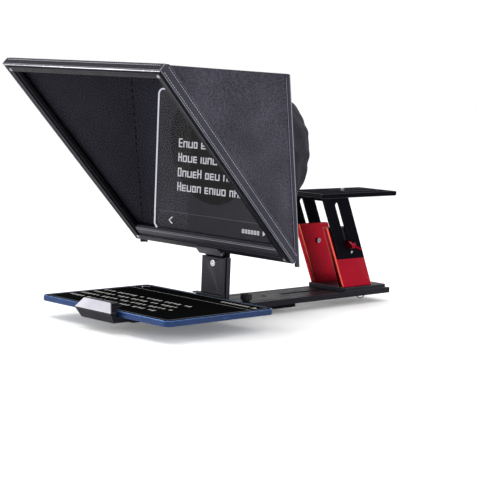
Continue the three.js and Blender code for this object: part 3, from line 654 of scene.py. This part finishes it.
border = [image_point(IMAGE_LEFT, IMAGE_FOOT + 1)]
arcs = ((IMAGE_LEFT + IMAGE_BEND, math.pi, math.pi / 2),
        (IMAGE_RIGHT - IMAGE_BEND, math.pi / 2, 0))
for cx, first, last in arcs:
    for k in range(9):
        a = lerp(first, last, k / 8)
        height = IMAGE_TOP - IMAGE_BEND + IMAGE_BEND * math.sin(a)
        border.append(image_point(cx + IMAGE_BEND * math.cos(a), height))
border.append(image_point(IMAGE_RIGHT, IMAGE_FOOT + 1))
show_image(tube("image_border", border, IMAGE_LINE, "image_line"))
path = [low_point(*spot) for spot in ((-113, 118.5), (-118.4, 124), (-118.4, 132), (-118.4, 141))]
show_image(tube("image_corner", path, IMAGE_LINE, "image_line"))
show_image(flat_blocks("image_words", image_words(), image_point, IMAGE_THICK, "image", 0.7))
path = [image_point(x, 148.3) for x in (-88.4, 20, 140)]
show_image(tube("image_divider", path, 0.45, "image_faint"))
path = [low_point(-78.5, 137.6), low_point(-85, 132.6), low_point(-78.5, 127.8)]
show_image(tube("image_chevron", path, 0.9, "image_line"))
digits = []
for step in range(6):
    digits += glyph("o", 75 + step * 6.2, 129, 4.2, 6, 1.2)
show_image(flat_blocks("image_clock", digits, low_point, IMAGE_THICK, "image", 0.4))
tips = (118, 128.6), (118, 136.2), (124, 132.4)
arrow = [low_point(*tip, lift) * MM for lift in (0, IMAGE_THICK) for tip in tips]
faces = [(0, 1, 2), (5, 4, 3), (0, 1, 4, 3), (1, 2, 5, 4), (2, 0, 3, 5)]
show_image(make("image_arrow", arrow, faces, "image"))

# The painted reflection of the page: a faint glow, just behind its marks.
page = [mm(x, PAGE_Y, z) for z in (332, 144) for x in (-96.9, 145)]
page = thicken(make("image_page", page, grid(2, 2), "image_page"), PAGE_THICK)
show_image(page)
page = [mm(x, PAGE_LOW_Y, z) for z in (141.2, 120) for x in (-114, 129)]
page = thicken(make("image_page_foot", page, grid(2, 2), "image_page"), PAGE_THICK)
show_image(page)

# ---- Hood -------------------------------------------------------------------------------------

# The side wall's corners on the glass frame and on the rear edge, and the hinge that the back
# folds about, each as y and z. The wall spans FOLD_SPAN degrees from GLASS_ANGLE round the hinge.

FOOT = (11.0, 103.0)
HEAD = (-256.9, 371.0)
REAR_FOOT = (15.0, 87.0)
REAR_HEAD = (-24.0, 365.6)
HINGE = (12.2, 107.0)
GLASS_ANGLE = 135
FOLD_SPAN = 37
ROOF_FRONT_Y, ROOF_REAR_Y = -256.4, -25.0
ROOF_FRONT_Z, ROOF_REAR_Z = 370.0, 364.2
BINDING_FOOT_Z, BINDING_HEAD_Z = 88, 365
SEAM_Z = 362.8
BAND_HEAD_Z = 372.2
CLOTH_THICK = 1.3
HOLE_RADIUS = 86.5


def back_y(z):
    return lerp(REAR_FOOT[0], REAR_HEAD[0], (z - REAR_FOOT[1]) / (REAR_HEAD[1] - REAR_FOOT[1]))


def wall_point(side, s, t, lift=0.0):
    """The side wall, s up the slope and t from the glass frame to the rear edge, in millimetres."""
    y = lerp(lerp(FOOT[0], HEAD[0], s), lerp(REAR_FOOT[0], REAR_HEAD[0], s), t)
    z = lerp(lerp(FOOT[1], HEAD[1], s), lerp(REAR_FOOT[1], REAR_HEAD[1], s), t)
    drawn_in = 2.2 * math.sin(math.pi * t) * math.sin(math.pi * s) ** 0.7
    wrinkle = noise.noise(Vector((y * 0.018, z * 0.011, 3.1 * side))) * 1.3
    puckers = 0.22 * math.sin(z * 0.52) * math.exp(-((1 - t) * 9) ** 2)
    x = 168.5 - drawn_in + wrinkle * math.sin(math.pi * t) + puckers + lift
    return Vector((side * x, y, z))


def line_inside(obj, inward):
    """Smooth dark lining on the faces that look into the hood."""
    obj.data.materials.append(M["lining"])
    for face in obj.data.polygons:
        if face.normal.dot(Vector(inward)) > 0.3:
            face.material_index = 1


def fold_with_rear(obj):
    """Bakes the piece's transform and works out how far each point lies round the hinge, from the glass
    frame to the hood's back; these shares are not used, so the piece does not bend.
    """
    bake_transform(obj)
    weights = np.zeros(len(obj.data.vertices), np.float32)
    for vertex in obj.data.vertices:
        y, z = vertex.co.y / MM - HINGE[0], vertex.co.z / MM - HINGE[1]
        if z > 0:
            t = (GLASS_ANGLE - math.degrees(math.atan2(z, y))) / FOLD_SPAN
            weights[vertex.index] = min(1.0, max(0.0, t))
    return obj


def build_wall(hand, side):
    rows, columns = 96, 64
    points = [wall_point(side, i / (rows - 1), j / (columns - 1)) * MM
              for i in range(rows) for j in range(columns)]
    wall = make(f"hood_wall_{hand}", points, grid(rows, columns), "cloth_side")
    thicken(wall, CLOTH_THICK)
    line_inside(wall, (-side, 0, 0))
    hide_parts(f"hood_{hand}")
    fold_with_rear(wall)

    # A pressed seam 6 mm in from the rear edge, with its stitches.
    path = [(side * 169.4, back_y(z) - 6.2, z) for z in np.linspace(93, 363, 80)]
    seam = stitches(f"rear_seam_{hand}", path, (side, 0, 0), "piping", 3.0, 2.9, 0.5)
    ride(seam, "hood_rear")
    return wall


def build_binding(hand, side):
    """Tape folded round the rear corner, from the side wall on to the back panel."""
    section = [(168.2, -7.0), (169.6, -7.0), (169.8, -1.5), (169.4, 1.0), (168.0, 2.0), (161.5, 1.9),
               (161.5, 0.6), (167.6, 0.6)]
    heights = np.linspace(BINDING_FOOT_Z, BINDING_HEAD_Z, 70)
    points = []
    for z in heights:
        for x, y in section:
            ripple = 0.12 * math.sin(z * 0.9 + x)
            points.append(mm(side * (x + ripple), back_y(z) + y, z))
    count = len(section)
    faces = grid(len(heights), count, close=True)
    faces.append(tuple(range(count)))
    faces.append(tuple(range(len(points) - count, len(points))))
    tape = make(f"rear_binding_{hand}", points, faces, "binding")
    ride(tape, "hood_rear")
    heights = np.linspace(BINDING_FOOT_Z, BINDING_HEAD_Z, 40)
    path = [(side * 169.7, back_y(z) + 1.4, z) for z in heights]
    cord = tube(f"rear_piping_{hand}", path, 0.75, "piping")
    ride(cord, "hood_rear")
    return tape, cord


def build_roof():
    rows, columns = 60, 90
    points = []
    for i in range(rows):
        t = i / (rows - 1)
        for j in range(columns):
            u = -1 + 2 * j / (columns - 1)
            sag = 4.0 * math.sin(math.pi * t) * (1 - u * u)
            wave = noise.noise(Vector((u * 3, t * 4, 7.7))) * 1.2 * math.sin(math.pi * t)
            wave *= 1 - u ** 4
            y, z = lerp(ROOF_FRONT_Y, ROOF_REAR_Y, t), lerp(ROOF_FRONT_Z, ROOF_REAR_Z, t)
            points.append(mm(166.6 * u, y, z - sag + wave))
    roof = make("hood_roof", points, grid(rows, columns), "cloth_roof")
    thicken(roof, CLOTH_THICK)
    line_inside(roof, (0, 0, -1))
    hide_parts("hood_top")
    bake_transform(roof)
    return roof


def build_roof_edge(hand, side):
    """The rolled seam where the roof meets the side wall."""
    path = [(side * 167.6, lerp(-255, -26, t), lerp(370.0, 364.4, t)) for t in np.linspace(0, 1, 60)]
    edge = tube(f"roof_piping_{hand}", path, 1.1, "binding")
    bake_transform(edge)
    return edge


def build_back():
    """The back panel: cloth from the sleeve's hole out to a rectangle, drawn slightly in."""
    spokes, rings = 240, 26
    half, low, high = 166.0, 107.0, 361.0
    points = []
    for i in range(rings):
        t = i / (rings - 1)
        for j in range(spokes):
            a = 2 * math.pi * j / spokes
            c, s = math.cos(a), math.sin(a)
            tall = high - SLEEVE_Z if s > 0 else SLEEVE_Z - low
            reach = min(half / max(abs(c), 1e-6), tall / max(abs(s), 1e-6))
            r = lerp(HOLE_RADIUS, reach, t)
            x, z = r * c, SLEEVE_Z + r * s
            dish = 1.6 * math.sin(math.pi * t) + 0.5 * math.sin(a * 22) * math.exp(-t * 7)
            points.append(mm(x, back_y(z) - 1.2 - dish, z))
    panel = make("hood_back_panel", points, grid(rings, spokes, close=True), "cloth_back")
    thicken(panel, 2.0)
    line_inside(panel, (0, -1, 0))
    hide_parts("hood_back")
    return ride(panel, "hood_rear")


# ---- Lens sleeve ------------------------------------------------------------------------------

# The bag's profile, as radius and distance behind the back panel.
SLEEVE = [(90.6, 0), (101.5, 24), (108.6, 60), (110.5, 98),
          (107.5, 120), (97.5, 133.6), (79, 141.2), (57, 144)]
SLEEVE_Y = back_y(SLEEVE_Z) + 0.8
SLEEVE_LONG = 144
HEM_ALONG = 147.6
SETTLE_FRAMES = 28
SETTLE_LIMIT = 0.012


def sleeve_radius(along):
    ys = [y for _, y in SLEEVE]
    return float(np.interp(along, ys, [r for r, _ in SLEEVE]))


def sleeve_point(along, a, radius):
    share = along / SLEEVE_LONG
    z = SLEEVE_Z + radius * math.sin(a)
    lean = (REAR_HEAD[0] - REAR_FOOT[0]) / (REAR_HEAD[1] - REAR_FOOT[1])
    y = SLEEVE_Y + along + lean * (z - SLEEVE_Z) * (1 - share)
    return Vector((radius * math.cos(a), y, z))


def build_sleeve():
    """A slack cloth bag held at the hood's hole and at its elastic mouth, dropped under its weight."""
    rows, columns = 44, 150
    points = []
    for i in range(rows):
        along = SLEEVE_LONG * i / (rows - 1)
        share = i / (rows - 1)
        for j in range(columns):
            a = 2 * math.pi * j / columns
            # Small pleats gather towards the mouth; slack and creases are fullest half way along.
            pleat = (1.3 * math.cos(17 * a) + 0.8 * math.cos(29 * a + 1.3)) * share ** 2
            spot = Vector((math.cos(a) * 2.2, math.sin(a) * 2.2, share * 3.4))
            crease = 1 - 2.4 * abs(noise.noise(spot * 1.5 + Vector((0, 0, math.sin(a)))))
            slack = (2.8 * noise.noise(spot) + 2.8 * crease) * math.sin(math.pi * share)
            points.append(sleeve_point(along, a, sleeve_radius(along) - 3 + pleat + slack) * MM)
    bag = make("lens_sleeve_cloth", points, grid(rows, columns, close=True), "cloth_sleeve")
    drop(bag, rows, columns)
    smooth = bag.modifiers.new("smooth", "SUBSURF")
    smooth.levels = 1
    settle(bag)
    thicken(bag, 1.2, -1)
    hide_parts("lens_sleeve")
    return ride(bag, "hood_rear")


def drop(bag, rows, columns):
    """Cloth simulation with the first and last rings held, its result applied and capped."""
    rest = np.array([v.co for v in bag.data.vertices])
    held = bag.vertex_groups.new(name="held")
    held.add(list(range(columns)) + list(range((rows - 1) * columns, rows * columns)), 1.0, "REPLACE")
    cloth = bag.modifiers.new("cloth", "CLOTH")
    cloth.settings.quality = 6
    cloth.settings.mass = 0.12
    cloth.settings.tension_stiffness = 10
    cloth.settings.compression_stiffness = 6
    cloth.settings.shear_stiffness = 4
    cloth.settings.bending_stiffness = 0.08
    cloth.settings.shrink_min = -0.045
    cloth.settings.vertex_group_mass = "held"
    cloth.settings.effector_weights.gravity = 0.5
    cloth.point_cache.frame_start = 1
    cloth.point_cache.frame_end = SETTLE_FRAMES + 2
    for step in range(1, SETTLE_FRAMES + 1):
        SCENE.frame_set(step)
    settle(bag)
    SCENE.frame_set(1)
    moved = np.array([v.co for v in bag.data.vertices]) - rest
    far = np.linalg.norm(moved, axis=1, keepdims=True)
    moved *= np.minimum(1, SETTLE_LIMIT / np.maximum(far, 1e-9))
    bag.data.vertices.foreach_set("co", (rest + moved).astype(np.float32).ravel())
    bag.vertex_groups.clear()


def build_hem():
    """The elastic mouth: a ring of cloth gathered into small pleats."""
    spokes, sides = 360, 14
    points = []
    for j in range(spokes):
        a = 2 * math.pi * j / spokes
        gather = 0.9 * math.cos(52 * a) + 0.3 * math.cos(87 * a + 0.6)
        for k in range(sides):
            b = 2 * math.pi * k / sides
            r = 55.4 + (4.1 + gather * 0.7) * math.cos(b)
            y = SLEEVE_Y + HEM_ALONG + (3.0 + 0.3 * gather) * math.sin(b)
            points.append(mm(r * math.cos(a), y, SLEEVE_Z + r * math.sin(a)))
    faces = grid(spokes, sides, close=True)
    last = (spokes - 1) * sides
    faces += [(last + k, last + (k + 1) % sides, (k + 1) % sides, k) for k in range(sides)]
    hem = make("sleeve_hem_elastic", points, faces, "hem")
    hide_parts("sleeve_hem")
    return ride(hem, "hood_rear")


def ring_path(radius, lift, count=200):
    """A ring round the sleeve's hole, on the back panel."""
    path = []
    for j in range(count):
        a = 2 * math.pi * j / count
        z = SLEEVE_Z + radius * math.sin(a)
        path.append((radius * math.cos(a), back_y(z) + lift, z))
    return path


def trim(obj, height):
    """Cuts a closed piece off level at a height, and closes the cut."""
    bm = bmesh.new()
    bm.from_mesh(obj.data)
    cut = bmesh.ops.bisect_plane(bm, geom=[*bm.verts, *bm.edges, *bm.faces],
                                 plane_co=mm(0, 0, height), plane_no=(0, 0, 1), clear_outer=True)
    rim = [item for item in cut["geom_cut"] if isinstance(item, bmesh.types.BMEdge)]
    bmesh.ops.edgeloop_fill(bm, edges=rim)
    bm.to_mesh(obj.data)
    bm.free()
    return obj


def build_band(hand, side):
    """Woven tape along the frame's edge, level with the roof at its head, with two stitched rows."""
    band = trim(refine(f"band_{hand}", "band_side", "piping", 0.35), BAND_HEAD_Z)
    rows = []
    for number, depth in enumerate((4.2, 14.4)):
        path = [slope(side * 171.55, up, depth) / MM for up in np.linspace(3, 380, 60)]
        row = stitches(f"band_stitches_{hand}_{number}", path, (side, 0, 0))
        rows.append(ride(row, "glass_frame"))
    return [band, *rows]


for hand, side in (("left", -1), ("right", 1)):
    build_wall(hand, side)
    tape = build_binding(hand, side)
    edge = build_roof_edge(hand, side)
    band = build_band(hand, side)

roof = build_roof()
# The roof band takes the darker roof webbing: painted shade.
band_top = refine("band_top", "band_roof_shaded", "piping", 0.35)
path = [slope(x, 383.55, 9.8) / MM for x in np.linspace(-166, 166, 60)]
top_stitches = ride(stitches("band_stitches_top", path, (0, -LEAN, LEAN)), "glass_frame")

back = build_back()
ring = tube("sleeve_seam", ring_path(89.5, 1.2), 1.3, "binding", closed=True)
ride(ring, "hood_rear")
path = [(x, back_y(SEAM_Z) - 0.8, SEAM_Z) for x in np.linspace(-167, 167, 40)]
closing = ride(tube("rear_seam_top", path, 2.2, "binding", sides=12), "hood_rear")

sleeve = build_sleeve()
hem = build_hem()

# ---- Stage, light and camera ------------------------------------------------------------------

low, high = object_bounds()
bm = bmesh.new()
bmesh.ops.create_circle(bm, cap_ends=True, segments=96, radius=14)
mesh = bpy.data.meshes.new("floor")
bm.to_mesh(mesh)
bm.free()
floor_paint, floor_tree, floor_shader = start("floor_paint", 0.9)
floor_tone = tone(floor_tree, spread(floor_tree, speckle(floor_tree, place(floor_tree), 3), 0, 1),
                  (0.86, 0.86, 0.86), (0.88, 0.88, 0.88))
floor_tree.links.new(floor_tone, floor_shader.inputs["Base Color"])
floor_shader.inputs["Emission Color"].default_value = (1, 1, 1, 1)
floor_shader.inputs["Emission Strength"].default_value = 0.14
mesh.materials.append(floor_paint)
floor = bpy.data.objects.new("floor", mesh)
floor.location = (0, 0.1, low.z - 0.001)
SCENE.collection.objects.link(floor)


def soft_light(name, at, aim, size, energy, tint=(1, 1, 1)):
    data = bpy.data.lights.new(name, "AREA")
    data.shape = "RECTANGLE"
    data.size, data.size_y = size
    data.energy = energy
    data.color = tint
    lamp = bpy.data.objects.new(name, data)
    lamp.location = at
    lamp.rotation_euler = (Vector(aim) - Vector(at)).to_track_quat("-Z", "Y").to_euler()
    SCENE.collection.objects.link(lamp)


soft_light("overhead", (-0.2, -0.5, 1.9), (0, 0, 0.15), (1.6, 1.2), 26)
soft_light("front_left", (-1.3, -2.2, 0.55), (0, 0, 0.2), (0.9, 0.9), 42)
soft_light("right_strip", (1.9, 0.7, 0.9), (0, 0.2, 0.15), (0.4, 1.4), 10)

world = bpy.data.worlds.new("studio")
world.use_nodes = True
world.node_tree.nodes["Background"].inputs["Color"].default_value = (1, 1, 1, 1)
world.node_tree.nodes["Background"].inputs["Strength"].default_value = 1.0
SCENE.world = world
SCENE.view_settings.view_transform = "Standard"

AZIMUTH, ELEVATION, ROLL = (math.radians(a) for a in (44.67, 6.61, 2.36))
EYE = (1.6269, -1.5853, 0.3686)
FOCAL_LENGTH = 110.83
backward = Vector((math.sin(AZIMUTH) * math.cos(ELEVATION),
                   -math.cos(AZIMUTH) * math.cos(ELEVATION), math.sin(ELEVATION)))
right = Vector((math.cos(AZIMUTH), math.sin(AZIMUTH), 0))
up = backward.cross(right)
camera_x = math.cos(ROLL) * right + math.sin(ROLL) * up
camera_y = -math.sin(ROLL) * right + math.cos(ROLL) * up
camera = bpy.data.objects.new("camera", bpy.data.cameras.new("camera"))
camera.data.sensor_width = 36
camera.data.lens = FOCAL_LENGTH
camera.matrix_world = Matrix((camera_x, camera_y, backward)).transposed().to_4x4()
camera.location = EYE
SCENE.collection.objects.link(camera)
SCENE.camera = camera
